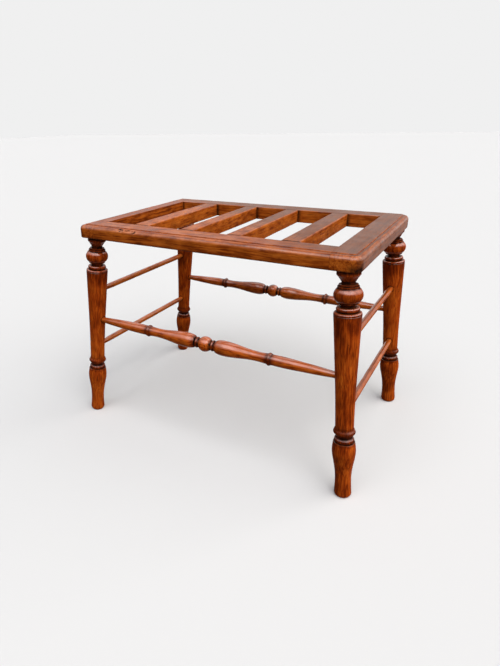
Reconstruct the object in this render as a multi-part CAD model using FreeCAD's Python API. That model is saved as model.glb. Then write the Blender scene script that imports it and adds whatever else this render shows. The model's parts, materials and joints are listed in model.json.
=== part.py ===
import FreeCAD, Part
import os
from math import sqrt
from FreeCAD import Placement, Rotation, Vector

# Luggage rack: a slatted hardwood frame on four turned, splayed legs. A turned stretcher ties the
# legs along each long side, and two plain dowels tie them at each end. Nothing on it moves.
# Millimetres. The origin is on the floor under the middle, +X runs along the length, -Y is the front.

# Frame, seen from above
frame_length = 610.0
frame_depth = 418.0
frame_thickness = 29.5
frame_underside = 443.0
left_rail_width = 43.2
right_rail_width = 51.8
front_rail_width = 52.0
back_rail_width = 57.0

# Moulding round the frame's outer edge
corner_radius = 16.0
nose_radius = 9.0
moulding_inset = 11.5
moulding_step = 1.6
step_corner_radius = 5.0
step_arris = 0.6
underside_arris = 2.5
opening_arris = 1.2

# Slats across the opening; the outer two are a little wider than the inner two
outer_slat_width = 35.5
inner_slat_width = 30.5
slat_arris = 2.0

# Tenons, spigots and dowel ends, with one clearance for the glue in every joint
glue_gap = 0.1
rail_tenon_length = 24.0
rail_tenon_thickness = 10.0
rail_tenon_shoulder = 10.0
slat_tenon_length = 20.0
slat_tenon_thickness = 10.0
slat_tenon_shoulder = 4.0
spigot_radius = 9.5
spigot_length = 21.0
dowel_end_to_leg_axis = 6.0

# Stance of the legs: overhang of the frame past their axes, and how far they lean out at the floor
left_overhang = 30.4
right_overhang = 24.0
side_overhang = 23.6
end_splay = 36.8
side_splay = 17.3

# Head of a leg, from the frame down
cup_rim_radius = 20.2
cup_rim_height = 9.0
cup_base_radius = 13.4
cup_height = 20.2
cup_hollow = 0.8
neck_radius = 11.9
neck_height = 4.8
upper_fillet_radius = 16.6
upper_fillet_height = 3.2
lower_fillet_radius = 18.8
lower_fillet_height = 3.4
ball_radius = 24.6
ball_foot_radius = 18.6
ball_height = 24.9
under_ball_fillet_height = 2.4
under_ball_fillet_radius = 17.8
collar_neck_radius = 12.2
collar_neck_height = 6.5
collar_radius = 20.0
collar_height = 6.8
collar_arris = 1.6
shoulder_groove_radius = 17.4
shoulder_groove_height = 1.6

# Shaft of a leg
shoulder_radius = 24.0
shoulder_rounding = 3.0
shoulder_height = 4.4
incised_line_depth = 0.7
incised_line_width = 1.2
shaft_upper_radius = 20.4
shaft_upper_height = 280.0
shaft_lower_radius = 17.4
shaft_lower_height = 193.0
shaft_foot_radius = 16.8

# Foot of a leg, from the floor up
foot_rounding = 9.0
foot_trim = 2.0
foot_radius = 16.2
foot_waist_radius = 15.4
foot_waist_height = 48.0
bulb_radius = 21.8
bulb_height = 99.0
bulb_shoulder_radius = 19.8
bulb_shoulder_height = 118.0
bulb_groove_radius = 17.2
bulb_groove_width = 1.5
foot_bead_radius = 18.0
foot_bead_width = 6.0
ankle_radius = 14.8
ankle_height = 130.0
ring_radius = 20.2
ring_height = 139.0
ring_edge = 1.4
ring_lower_slope = 4.8
ring_upper_slope = 8.2

# Turned stretcher, from the middle of its ball outwards
front_stretcher_height = 247.0
back_stretcher_height = 246.0
front_ball_offset = 3.5
back_ball_offset = -10.5
stretcher_ball_radius = 16.2
stretcher_groove_radius = 9.6
stretcher_groove_width = 3.0
stretcher_bead_radius = 11.6
stretcher_bead_width = 5.4
vase_radius = 15.9
vase_peak = 47.0
vase_end_radius = 11.2
vase_foot_radius = 9.9
vase_foot = 124.0
vase_flare_radius = 10.7
stretcher_ring_place = 143.7
stretcher_ring_radius = 12.6
stretcher_ring_width = 6.0
stretcher_fillet_radius = 11.3
stretcher_fillet_width = 1.3
tail_radius = 10.7
dowel_radius = 6.4
dowel_straight_length = 16.5

# Plain dowels at the two ends
left_upper_front_height = 316.0
left_upper_back_height = 316.0
left_lower_front_height = 177.5
left_lower_back_height = 180.0
right_upper_front_height = 311.0
right_upper_back_height = 305.0
right_lower_front_height = 177.0
right_lower_back_height = 171.0
side_dowel_radius = 6.5
side_dowel_end_radius = 5.8
side_dowel_taper_length = 22.0

# Places of the slats, as shares of half the opening on each side of its middle
outer_slat_share = 0.656
inner_slat_share = 0.209

# Shares of a turned length, and of the radius there, that shape the long curves
vase_nose_shares = ((0.12, 0.42), (0.33, 0.76))
vase_curve_shares = ((0.30, 0.73), (0.62, 0.22))
tail_curve_shares = ((0.16, 1.03), (0.52, 0.90), (0.80, 0.755))

# Length by which a cutting solid passes what it cuts
overrun = 60.0

# Places worked out from the sizes above
frame_top = frame_underside + frame_thickness
middle_of_thickness = frame_underside + frame_thickness / 2
leg_top_x = (frame_length - left_overhang - right_overhang) / 2
leg_top_y = frame_depth / 2 - side_overhang
frame_left = -leg_top_x - left_overhang
frame_right = leg_top_x + right_overhang
opening_left = frame_left + left_rail_width
opening_right = frame_right - right_rail_width
opening_front = front_rail_width - frame_depth / 2
opening_back = frame_depth / 2 - back_rail_width
leg_length = sqrt(frame_underside ** 2 + end_splay ** 2 + side_splay ** 2)
opening_middle = (opening_left + opening_right) / 2
opening_half = (opening_right - opening_left) / 2
side_dowel_heights = {
    (-1, "upper"): (left_upper_front_height, left_upper_back_height),
    (-1, "lower"): (left_lower_front_height, left_lower_back_height),
    (1, "upper"): (right_upper_front_height, right_upper_back_height),
    (1, "lower"): (right_lower_front_height, right_lower_back_height),
}
slats = (
    (opening_middle - outer_slat_share * opening_half, outer_slat_width),
    (opening_middle - inner_slat_share * opening_half, inner_slat_width),
    (opening_middle + inner_slat_share * opening_half, inner_slat_width),
    (opening_middle + outer_slat_share * opening_half, outer_slat_width),
)


def box(low, high):
    """Solid box between two corners."""
    size = high.sub(low)
    return Part.makeBox(size.x, size.y, size.z, low)


def bar(radius, start, end):
    """Round bar between two points."""
    run = end.sub(start)
    return Part.makeCylinder(radius, run.Length, start, run)


def outline(start, *steps):
    """Edges of a turned outline: a step of one point is a line, of two an arc, of more a curve."""
    edges = []
    here = Vector(start[0], 0, start[1])
    for step in steps:
        points = [Vector(radius, 0, height) for radius, height in step]
        if len(points) == 1:
            edges.append(Part.LineSegment(here, points[0]).toShape())
        elif len(points) == 2:
            edges.append(Part.Arc(here, points[0], points[1]).toShape())
        else:
            curve = Part.BSplineCurve()
            curve.interpolate([here] + points)
            edges.append(curve.toShape())
        here = points[-1]
    return edges


def turned(edges):
    """Solid turned about +Z from an outline that starts and ends on the axis."""
    first = edges[0].Vertexes[0].Point
    last = edges[-1].Vertexes[-1].Point
    closing = Part.LineSegment(last, first).toShape()
    face = Part.Face(Part.Wire(edges + [closing]))
    return face.revolve(Vector(0, 0, 0), Vector(0, 0, 1), 360)


def rounded_plate(inset, radius, low, high):
    """Plate with rounded corners between two heights, drawn in from the frame's outer faces."""
    half_depth = frame_depth / 2 - inset
    plate = box(Vector(frame_left + inset, -half_depth, low), Vector(frame_right - inset, half_depth, high))
    upright = [edge for edge in plate.Edges if edge.BoundBox.ZLength > edge.BoundBox.DiagonalLength / 2]
    return plate.makeFillet(radius, upright)


def edges_at(solid, height):
    """Edges of a solid that lie flat at one height."""
    near = opening_arris / 2
    return [edge for edge in solid.Edges if abs(edge.BoundBox.ZMin - height) < near
            and abs(edge.BoundBox.ZMax - height) < near]


def moulded_slab():
    """The frame's blank: rounded nose under a small step, and a soft lower edge."""
    shelf = frame_top - moulding_step
    slab = rounded_plate(0, corner_radius, frame_underside, shelf)
    slab = slab.makeFillet(nose_radius, edges_at(slab, shelf))
    slab = slab.makeFillet(underside_arris, edges_at(slab, frame_underside))
    top = rounded_plate(moulding_inset, step_corner_radius, middle_of_thickness, frame_top)
    top = top.makeFillet(step_arris, edges_at(top, frame_top))
    return slab.fuse(top)


def frame_ring():
    """The blank with its opening, whose upper and lower edges are eased."""
    low = Vector(opening_left, opening_front, frame_underside - overrun)
    high = Vector(opening_right, opening_back, frame_top + overrun)
    ring = moulded_slab().cut(box(low, high))
    rim = []
    for edge in ring.Edges:
        centre = edge.BoundBox.Center
        inside_x = opening_left - slat_arris < centre.x < opening_right + slat_arris
        inside_y = opening_front - slat_arris < centre.y < opening_back + slat_arris
        if inside_x and inside_y and edge.BoundBox.ZLength < opening_arris:
            rim.append(edge)
    return ring.makeFillet(opening_arris, rim)


def leg_axis_point(side_x, side_y, height):
    """Point of a leg's axis at a height over the floor."""
    lean = (frame_underside - height) / frame_underside
    return Vector(side_x * (leg_top_x + lean * end_splay), side_y * (leg_top_y + lean * side_splay), height)


def spigot(side_x, side_y, gap):
    """Round spigot on top of a leg, or with a gap the bore that takes it."""
    foot = leg_axis_point(side_x, side_y, frame_underside - spigot_length)
    top = leg_axis_point(side_x, side_y, frame_underside + spigot_length + gap)
    return bar(spigot_radius + gap, foot, top)


def rail_tenon(side_x, low_y, high_y, gap):
    """Tenon at one end of a long rail, or with a gap the mortise that takes it."""
    inner = opening_left if side_x < 0 else opening_right
    outer = inner + side_x * (rail_tenon_length + gap)
    half = rail_tenon_thickness / 2 + gap
    low = Vector(min(inner, outer), low_y + rail_tenon_shoulder - gap, middle_of_thickness - half)
    high = Vector(max(inner, outer), high_y - rail_tenon_shoulder + gap, middle_of_thickness + half)
    return box(low, high)


def long_rail_span(side_y):
    """Lowest and highest Y of the front or the back rail."""
    if side_y < 0:
        return -frame_depth / 2, opening_front
    return opening_back, frame_depth / 2


def slat_tenon(place, width, side_y, gap):
    """Tenon at one end of a slat, or with a gap the mortise that takes it."""
    inner = opening_front if side_y < 0 else opening_back
    outer = inner + side_y * (slat_tenon_length + gap)
    half = Vector(width / 2 - slat_tenon_shoulder + gap, 0, slat_tenon_thickness / 2 + gap)
    low = Vector(place - half.x, min(inner, outer), middle_of_thickness - half.z)
    high = Vector(place + half.x, max(inner, outer), middle_of_thickness + half.z)
    return box(low, high)


def end_rail(ring, side_x):
    """Rail across the whole depth at one end, with mortises for the long rails and bores for two legs."""
    reach = Vector(overrun, overrun, overrun)
    outer, inner = (frame_left, opening_left) if side_x < 0 else (frame_right, opening_right)
    far = Vector(outer, frame_depth / 2, frame_top)
    low = Vector(min(inner, far.x), -far.y, frame_underside)
    high = Vector(max(inner, far.x), far.y, frame_top)
    if side_x < 0:
        piece = ring.common(box(low.sub(reach), high.add(Vector(0, overrun, overrun))))
    else:
        piece = ring.common(box(low.sub(Vector(0, overrun, overrun)), high.add(reach)))
    for side_y in (-1, 1):
        low_y, high_y = long_rail_span(side_y)
        piece = piece.cut(rail_tenon(side_x, low_y, high_y, glue_gap))
        piece = piece.cut(spigot(side_x, side_y, glue_gap))
    return piece


def long_rail(ring, side_y):
    """Front or back rail with its two tenons, bored for the legs and mortised for the slats."""
    low_y, high_y = long_rail_span(side_y)
    low = Vector(opening_left, min(low_y, side_y * overrun), frame_underside - overrun)
    high = Vector(opening_right, max(high_y, side_y * overrun), frame_top + overrun)
    piece = ring.common(box(low, high))
    for side_x in (-1, 1):
        piece = piece.fuse(rail_tenon(side_x, low_y, high_y, 0))
    for side_x in (-1, 1):
        piece = piece.cut(spigot(side_x, side_y, glue_gap))
    for place, width in slats:
        piece = piece.cut(slat_tenon(place, width, side_y, glue_gap))
    return piece


def slat(place, width):
    """Slat with eased long edges and a tenon at each end."""
    low = Vector(place - width / 2, opening_front, frame_underside)
    high = Vector(place + width / 2, opening_back, frame_top)
    piece = box(low, high)
    along = [edge for edge in piece.Edges if edge.BoundBox.YLength > edge.BoundBox.DiagonalLength / 2]
    piece = piece.makeFillet(slat_arris, along)
    return piece.fuse([slat_tenon(place, width, -1, 0), slat_tenon(place, width, 1, 0)])


def foot_steps():
    """Outline of the foot, from the floor to the sharp ring."""
    floor = -foot_trim
    round_centre = foot_radius - foot_rounding
    groove_top = bulb_shoulder_height + bulb_groove_width
    bead_top = groove_top + foot_bead_width
    bead_edge = (bulb_groove_radius + foot_bead_radius) / 2
    ring_under = ring_height - ring_edge / 2
    ring_over = ring_height + ring_edge / 2
    arc_share = 1 / sqrt(2)
    return [
        [(round_centre, floor)],
        [(round_centre + foot_rounding * arc_share, floor + foot_rounding * (1 - arc_share)),
         (foot_radius, floor + foot_rounding)],
        [(foot_waist_radius, foot_waist_height),
         ((foot_waist_radius + bulb_radius) / 2, (foot_waist_height + bulb_height) / 2),
         (bulb_radius, bulb_height),
         (bulb_shoulder_radius, bulb_shoulder_height)],
        [(bulb_groove_radius, bulb_shoulder_height)],
        [(bulb_groove_radius, groove_top)],
        [(foot_bead_radius, groove_top + foot_bead_width / 2), (bead_edge, bead_top)],
        [(ankle_radius, ankle_height), (shaft_foot_radius, ring_under - ring_lower_slope)],
        [(ring_radius, ring_under)],
        [(ring_radius, ring_over)],
        [(shaft_foot_radius, ring_over + ring_upper_slope)],
    ]


def shaft_steps(shoulder_top):
    """Outline of the shaft, up to the flat top of its shoulder."""
    line = shoulder_top - shoulder_height
    knee = shoulder_rounding * (1 - 1 / sqrt(2))
    return [
        [(shaft_lower_radius, shaft_lower_height), (shaft_upper_radius, shaft_upper_height),
         (shoulder_radius, line - incised_line_width)],
        [(shoulder_radius - incised_line_depth, line - incised_line_width / 2)],
        [(shoulder_radius, line)],
        [(shoulder_radius, shoulder_top - shoulder_rounding)],
        [(shoulder_radius - knee, shoulder_top - knee), (shoulder_radius - shoulder_rounding, shoulder_top)],
        [(shoulder_groove_radius, shoulder_top)],
    ]


def head_heights():
    """Heights along a leg's axis of the turnings of its head, from the shaft's shoulder to the frame."""
    turnings = (
        cup_rim_height, cup_height - cup_rim_height, neck_height, upper_fillet_height, lower_fillet_height,
        ball_height, under_ball_fillet_height, collar_neck_height, collar_height, shoulder_groove_height,
    )
    heights = [leg_length]
    for turning in turnings:
        heights.append(heights[-1] - turning)
    return heights[::-1]


def head_steps():
    """Outline of the head: collar, neck, ball, fillets, neck and cup."""
    (shoulder, collar_low, collar_top, ball_fillet_low, ball_low, ball_top,
     lower_top, neck_low, neck_top, rim_low, top) = head_heights()
    above = top + foot_trim
    collar_edge = collar_radius - collar_arris
    return [
        [(shoulder_groove_radius, collar_low)],
        [(collar_edge, collar_low)],
        [(collar_radius, (collar_low + collar_top) / 2), (collar_edge, collar_top)],
        [(collar_neck_radius, collar_top)],
        [(collar_neck_radius, ball_fillet_low)],
        [(under_ball_fillet_radius, ball_fillet_low)],
        [(under_ball_fillet_radius, ball_low)],
        [(ball_foot_radius, ball_low)],
        [(ball_radius, (ball_low + ball_top) / 2), (lower_fillet_radius, ball_top)],
        [(lower_fillet_radius, lower_top)],
        [(upper_fillet_radius, lower_top)],
        [(upper_fillet_radius, neck_low)],
        [(neck_radius, neck_low)],
        [(neck_radius, neck_top)],
        [(cup_base_radius, neck_top)],
        [((cup_base_radius + cup_rim_radius) / 2 - cup_hollow, (neck_top + rim_low) / 2),
         (cup_rim_radius, rim_low)],
        [(cup_rim_radius, above)],
        [(0, above)],
    ]


def leg(side_x, side_y, dowels):
    """Turned leg, leaning out to its corner, trimmed flat at floor and frame and bored for its dowels."""
    shoulder_top = head_heights()[0]
    edges = outline((0, -foot_trim), *(foot_steps() + shaft_steps(shoulder_top) + head_steps()))
    foot = leg_axis_point(side_x, side_y, 0)
    top = leg_axis_point(side_x, side_y, frame_underside)
    piece = turned(edges)
    piece.Placement = Placement(foot, Rotation(Vector(0, 0, 1), top.sub(foot)))
    reach = Vector(overrun, overrun, 0)
    low = Vector(min(foot.x, top.x), min(foot.y, top.y), 0).sub(reach)
    high = Vector(max(foot.x, top.x), max(foot.y, top.y), frame_underside).add(reach)
    piece = piece.common(box(low, high)).fuse(spigot(side_x, side_y, 0))
    for axis, radius, inward in dowels:
        mouth = axis.add(inward * overrun)
        end = axis.add(inward * (dowel_end_to_leg_axis - glue_gap))
        piece = piece.cut(bar(radius + glue_gap, mouth, end))
    return piece


def half_stretcher_steps(length):
    """Outline of half a turned stretcher, from its ball to its end: radius against distance."""
    ball_half = sqrt(stretcher_ball_radius ** 2 - stretcher_groove_radius ** 2)
    ball_knee = stretcher_ball_radius / sqrt(2)
    bead_low = ball_half + stretcher_groove_width
    bead_high = bead_low + stretcher_bead_width
    vase_low = bead_high + stretcher_groove_width
    ring_low = stretcher_ring_place - stretcher_ring_width / 2
    ring_high = stretcher_ring_place + stretcher_ring_width / 2
    fillet_low = ring_low - stretcher_fillet_width
    fillet_high = ring_high + stretcher_fillet_width
    tail_end = length - dowel_straight_length
    vase_nose = [(vase_end_radius + swell * (vase_radius - vase_end_radius),
                  vase_low + along * (vase_peak - vase_low)) for along, swell in vase_nose_shares]
    vase_curve = [(vase_foot_radius + swell * (vase_radius - vase_foot_radius),
                   vase_peak + along * (vase_foot - vase_peak)) for along, swell in vase_curve_shares]
    tail_curve = [(tail_radius * swell, fillet_high + along * (tail_end - fillet_high))
                  for along, swell in tail_curve_shares]
    return [
        [(ball_knee, ball_knee), (stretcher_groove_radius, ball_half)],
        [(stretcher_groove_radius, bead_low)],
        [(stretcher_bead_radius, (bead_low + bead_high) / 2), (stretcher_groove_radius, bead_high)],
        [(stretcher_groove_radius, vase_low)],
        [(vase_end_radius, vase_low)],
        [*vase_nose, (vase_radius, vase_peak), *vase_curve, (vase_foot_radius, vase_foot),
         (vase_flare_radius, fillet_low)],
        [(stretcher_fillet_radius, fillet_low)],
        [(stretcher_fillet_radius, ring_low)],
        [(stretcher_ring_radius, stretcher_ring_place), (stretcher_fillet_radius, ring_high)],
        [(stretcher_fillet_radius, fillet_high)],
        [(tail_radius, fillet_high)],
        [*tail_curve, (dowel_radius, tail_end)],
        [(dowel_radius, length)],
        [(0, length)],
    ]


def turned_stretcher(side_y, height, ball_offset):
    """Turned stretcher between two legs of one long side."""
    left = leg_axis_point(-1, side_y, height).add(Vector(dowel_end_to_leg_axis, 0, 0))
    right = leg_axis_point(1, side_y, height).sub(Vector(dowel_end_to_leg_axis, 0, 0))
    ball = Vector(ball_offset, left.y, height)
    halves = []
    for end in (left, right):
        run = end.sub(ball)
        edges = outline((0, 0), [(stretcher_ball_radius, 0)], *half_stretcher_steps(run.Length))
        half = turned(edges)
        half.Placement = Placement(ball, Rotation(Vector(0, 0, 1), run))
        halves.append(half)
    return halves[0].fuse(halves[1]).removeSplitter()


def side_dowel_axis(side_x, level):
    """Points where a side dowel's line meets the axes of the front and back leg; it may slope a little."""
    front_height, back_height = side_dowel_heights[side_x, level]
    return leg_axis_point(side_x, -1, front_height), leg_axis_point(side_x, 1, back_height)


def unit(run):
    """Vector of length one along a run."""
    return run * (1 / run.Length)


def side_dowel(side_x, level):
    """Plain dowel between the front and back leg of one end, a little thinner at its ends."""
    front, back = side_dowel_axis(side_x, level)
    inset = unit(back.sub(front)) * dowel_end_to_leg_axis
    front, back = front.add(inset), back.sub(inset)
    run = back.sub(front)
    taper_end = dowel_straight_length + side_dowel_taper_length
    edges = outline(
        (0, 0),
        [(side_dowel_end_radius, 0)],
        [(side_dowel_end_radius, dowel_straight_length)],
        [(side_dowel_radius, taper_end)],
        [(side_dowel_radius, run.Length - taper_end)],
        [(side_dowel_end_radius, run.Length - dowel_straight_length)],
        [(side_dowel_end_radius, run.Length)],
        [(0, run.Length)],
    )
    piece = turned(edges)
    piece.Placement = Placement(front, Rotation(Vector(0, 0, 1), run))
    return piece


def leg_dowels(side_x, side_y):
    """Point on the leg's axis, radius and inward direction of the three dowel ends that a leg takes."""
    long_height = front_stretcher_height if side_y < 0 else back_stretcher_height
    ends = [(leg_axis_point(side_x, side_y, long_height), dowel_radius, Vector(-side_x, 0, 0))]
    for level in ("upper", "lower"):
        front, back = side_dowel_axis(side_x, level)
        here, there = (front, back) if side_y < 0 else (back, front)
        ends.append((here, side_dowel_end_radius, unit(there.sub(here))))
    return ends


def build():
    """All pieces of the rack by name."""
    ring = frame_ring()
    pieces = {
        "end_rail_left": end_rail(ring, -1),
        "end_rail_right": end_rail(ring, 1),
        "front_rail": long_rail(ring, -1),
        "back_rail": long_rail(ring, 1),
    }
    for number, (place, width) in enumerate(slats, 1):
        pieces["slat_%d" % number] = slat(place, width)
    for name_y, side_y in (("front", -1), ("back", 1)):
        for name_x, side_x in (("left", -1), ("right", 1)):
            pieces["leg_%s_%s" % (name_y, name_x)] = leg(side_x, side_y, leg_dowels(side_x, side_y))
    pieces["front_stretcher"] = turned_stretcher(-1, front_stretcher_height, front_ball_offset)
    pieces["back_stretcher"] = turned_stretcher(1, back_stretcher_height, back_ball_offset)
    for name_x, side_x in (("left", -1), ("right", 1)):
        for level in ("upper", "lower"):
            pieces["side_dowel_%s_%s" % (name_x, level)] = side_dowel(side_x, level)
    return pieces


os.makedirs("parts", exist_ok=True)
for name, piece in build().items():
    piece.exportStep("parts/%s.step" % name)
    size = piece.optimalBoundingBox()
    state = "valid" if piece.isValid() else "not valid"
    print("%-24s %d solid, %s, %.0f mm3" % (name, len(piece.Solids), state, piece.Volume))
    print("%-24s %.1f x %.1f x %.1f mm" % ("", size.XLength, size.YLength, size.ZLength))
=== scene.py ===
import bpy
import bmesh
import json
import numpy as np
from math import pi, sqrt, sin, cos, radians, atan2, hypot
from types import SimpleNamespace
from mathutils import Matrix, Vector, noise


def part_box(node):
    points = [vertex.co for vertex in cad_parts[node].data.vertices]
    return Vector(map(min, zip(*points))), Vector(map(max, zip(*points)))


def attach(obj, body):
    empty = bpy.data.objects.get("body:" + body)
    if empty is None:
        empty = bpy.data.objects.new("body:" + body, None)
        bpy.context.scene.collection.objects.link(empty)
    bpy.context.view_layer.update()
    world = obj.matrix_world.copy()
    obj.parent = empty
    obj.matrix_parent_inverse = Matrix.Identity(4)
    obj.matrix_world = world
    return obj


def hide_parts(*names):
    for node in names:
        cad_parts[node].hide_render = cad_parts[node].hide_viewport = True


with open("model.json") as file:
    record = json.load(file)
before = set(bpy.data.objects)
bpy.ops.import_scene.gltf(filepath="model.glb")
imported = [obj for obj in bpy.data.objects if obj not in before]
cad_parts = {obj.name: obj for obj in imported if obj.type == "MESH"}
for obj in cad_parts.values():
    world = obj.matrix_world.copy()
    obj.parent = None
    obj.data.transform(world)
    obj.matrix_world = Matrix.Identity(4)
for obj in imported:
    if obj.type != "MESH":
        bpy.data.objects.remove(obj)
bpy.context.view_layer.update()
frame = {"nodes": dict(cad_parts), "record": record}
scene = bpy.context.scene
scene.view_settings.view_transform = "Standard"
mm = 0.001
print("frame loaded with", len(frame["nodes"]), "nodes")


# Small helpers for node trees

def nodeMaker(tree):
    def make(kind, inputs=None, **settings):   # adds a node, sets it and wires its inputs
        node = tree.nodes.new(kind)
        for key, value in settings.items():
            setattr(node, key, value)
        for key, value in (inputs or {}).items():
            if isinstance(value, bpy.types.NodeSocket):
                tree.links.new(value, node.inputs[key])
            else:
                node.inputs[key].default_value = value
        return node
    return make


def emptyTree(owner):   # a material or a world, ready for its own nodes
    owner.use_nodes = True
    owner.node_tree.nodes.clear()
    return nodeMaker(owner.node_tree)


def newGroup(name, kind, inputs, outputs):
    tree = bpy.data.node_groups.new(name, kind)
    for label, socketType, value in inputs:
        socket = tree.interface.new_socket(label, in_out="INPUT", socket_type="NodeSocket" + socketType)
        if value is not None:
            socket.default_value = value
    for label, socketType in outputs:
        tree.interface.new_socket(label, in_out="OUTPUT", socket_type="NodeSocket" + socketType)
    make = nodeMaker(tree)
    return tree, make, make("NodeGroupInput").outputs


def maths(make, operation, first, second=0.0, clamp=False):
    return make("ShaderNodeMath", {0: first, 1: second}, operation=operation, use_clamp=clamp).outputs[0]


def times(make, first, second, clamp=False):
    return maths(make, "MULTIPLY", first, second, clamp)


def plus(make, first, second, clamp=False):
    return maths(make, "ADD", first, second, clamp)


def minus(make, first, second):
    return maths(make, "SUBTRACT", first, second)


def larger(make, first, second):
    return maths(make, "MAXIMUM", first, second)


def vectorMaths(make, operation, first, second):
    key = "Scale" if operation == "SCALE" else 1
    node = make("ShaderNodeVectorMath", {0: first, key: second}, operation=operation)
    return node.outputs["Value" if operation == "DOT_PRODUCT" else "Vector"]


def separate(make, vector):
    return make("ShaderNodeSeparateXYZ", {0: vector}).outputs


def remap(make, value, low, high, toLow=0.0, toHigh=1.0):
    inputs = {"Value": value, "From Min": low, "From Max": high, "To Min": toLow, "To Max": toHigh}
    return make("ShaderNodeMapRange", inputs).outputs["Result"]


def noisePattern(make, vector, scale, detail, stretch=(1, 1, 1)):
    spread = vectorMaths(make, "MULTIPLY", vector, stretch)
    return make("ShaderNodeTexNoise", {"Vector": spread, "Scale": scale, "Detail": detail}).outputs["Fac"]


def patches(make, vector, scale, detail, low, high, toLow=0.0, toHigh=1.0, stretch=(1, 1, 1)):
    return remap(make, noisePattern(make, vector, scale, detail, stretch), low, high, toLow, toHigh)


def mixColour(make, factor, first, second):
    return make("ShaderNodeMix", {0: factor, 6: first, 7: second}, data_type="RGBA").outputs[2]


# The grain of the wood, a group that every finish shares. The third direction runs along the grain

woodGrain = dict(
    driftScale=9.0, drift=(0.010, 0.010, 0.0), streakShare=0.56, fibreShare=0.44, fibreLevels=(0.3, 0.7),
    fibreHeight=0.6, poreDepth=0.5,
    streaks=dict(detail=3.0, low=0.28, high=0.70, stretch=(1, 1, 0.045)),
    fibres=dict(detail=3.0, stretch=(1, 1, 0.028)),
    mottle=dict(detail=4.0, low=0.34, high=0.66, stretch=(1, 1, 0.38)),
    pores=dict(scale=760.0, detail=1.0, low=0.57, high=0.69, stretch=(1, 1, 0.07)),
)


def buildWoodFigure(look):
    inputs = [("Vector", "Vector", None), ("Streak Scale", "Float", 230.0), ("Fibre Scale", "Float", 600.0),
              ("Mottle Scale", "Float", 90.0), ("Mottle Share", "Float", 0.28)]
    outputs = [("Tone", "Float"), ("Pores", "Float"), ("Height", "Float")]
    tree, make, given = newGroup("woodFigure", "ShaderNodeTree", inputs, outputs)
    wander = {"Vector": given["Vector"], "Scale": look["driftScale"], "Detail": 1.0}
    drift = vectorMaths(make, "MULTIPLY", make("ShaderNodeTexNoise", wander).outputs["Color"], look["drift"])
    place = vectorMaths(make, "ADD", given["Vector"], drift)
    streaks = patches(make, place, given["Streak Scale"], **look["streaks"])
    fibres = noisePattern(make, place, given["Fibre Scale"], **look["fibres"])
    mottle = patches(make, place, given["Mottle Scale"], **look["mottle"])
    pores = patches(make, place, **look["pores"])
    lines = times(make, remap(make, fibres, *look["fibreLevels"]), look["fibreShare"])
    plain = plus(make, times(make, streaks, look["streakShare"]), lines)
    tone = make("ShaderNodeMix", {0: given["Mottle Share"], 2: plain, 3: mottle}).outputs[0]
    height = minus(make, times(make, fibres, look["fibreHeight"]), times(make, pores, look["poreDepth"]))
    make("NodeGroupOutput", {"Tone": tone, "Pores": pores, "Height": height})
    return tree


# Age and polish, with painted shade and painted highlight, a group that every finish shares. Faces are told
# apart by how far they look upwards

agedLook = dict(
    underShine=(-0.45, -0.65, 0.0, 0.5), topFace=(0.62, 0.82), levelFace=(0.90, 0.98),
    greyedFaceShine=0.27, greyedFaceShade=0.75,
    shadeWay=(1, 1.2, 0), shadeLevels=(-0.12, 0.05),   # the level top is darkest at the right and back
    marks=dict(
        breakUp=dict(scale=130.0, detail=4.0, low=0.30, high=0.70, toLow=0.6, toHigh=1.2),
        rubbed=dict(scale=95.0, detail=5.0, low=0.44, high=0.66),
        stain=dict(scale=19.0, detail=5.0, low=0.46, high=0.68),
        scuff=dict(scale=210.0, detail=3.0, low=0.60, high=0.72, stretch=(1, 0.35, 0.6)),
        pits=dict(scale=240.0, detail=1.0, low=0.69, high=0.76),
        pitted=dict(scale=26.0, detail=2.0, low=0.45, high=0.62),
        dull=dict(scale=33.0, detail=5.0, low=0.35, high=0.68, toLow=1.0, toHigh=0.6)),
)


def buildAgedPolishAndLight(look):
    inputs = [("Vector", "Vector", None), ("Shine From", "Float", 0.1), ("Shine Full", "Float", 0.5)]
    inputs += [(label, "Float", 0.0) for label in ("Grime", "Wear", "Upward", "Weathered", "Top Dullness")]
    outputs = [(label, "Float") for label in ("Grime", "Wear", "Stain", "Scuff", "Pits", "Polish", "Shade")]
    tree, make, given = newGroup("agedPolishAndLight", "ShaderNodeTree", inputs, outputs)
    marks = {label: patches(make, given["Vector"], **mark) for label, mark in look["marks"].items()}
    grime = times(make, given["Grime"], marks["breakUp"], clamp=True)
    wear = times(make, given["Wear"], marks["rubbed"], clamp=True)
    pits = times(make, marks["pits"], marks["pitted"])
    # The polish follows how far a face looks up or down: it sets the coat and also places the painted
    # highlight colour.
    up = remap(make, given["Upward"], given["Shine From"], given["Shine Full"])
    down = remap(make, given["Upward"], *look["underShine"])
    lit = larger(make, larger(make, up, down), times(make, given["Weathered"], look["greyedFaceShine"]))
    top = times(make, remap(make, given["Upward"], *look["topFace"]), given["Top Dullness"])
    dull = times(make, marks["dull"], minus(make, 1.0, top))
    polishAndHighlight = times(make, times(make, lit, dull), minus(make, 1.0, grime), clamp=True)
    across = vectorMaths(make, "DOT_PRODUCT", given["Vector"], look["shadeWay"])
    level = remap(make, given["Upward"], *look["levelFace"])
    shade = times(make, level, remap(make, across, *look["shadeLevels"]))
    shade = larger(make, shade, times(make, given["Weathered"], look["greyedFaceShade"]))
    make("NodeGroupOutput", {"Grime": grime, "Wear": wear, "Stain": marks["stain"], "Scuff": marks["scuff"],
                             "Pits": pits, "Polish": polishAndHighlight, "Shade": shade})
    return tree


woodFigure = buildWoodFigure(woodGrain)
agedPolishAndLight = buildAgedPolishAndLight(agedLook)

# Wood finishes: tones run from the darkest streak to the lightest

# The near-black colour darkens for dirt and also paints shade into hollows and corners; the two worn colours
# serve wear and painted highlights on noses, steps and crests; the red-orange one is a painted highlight on
# faces turned up.
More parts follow.
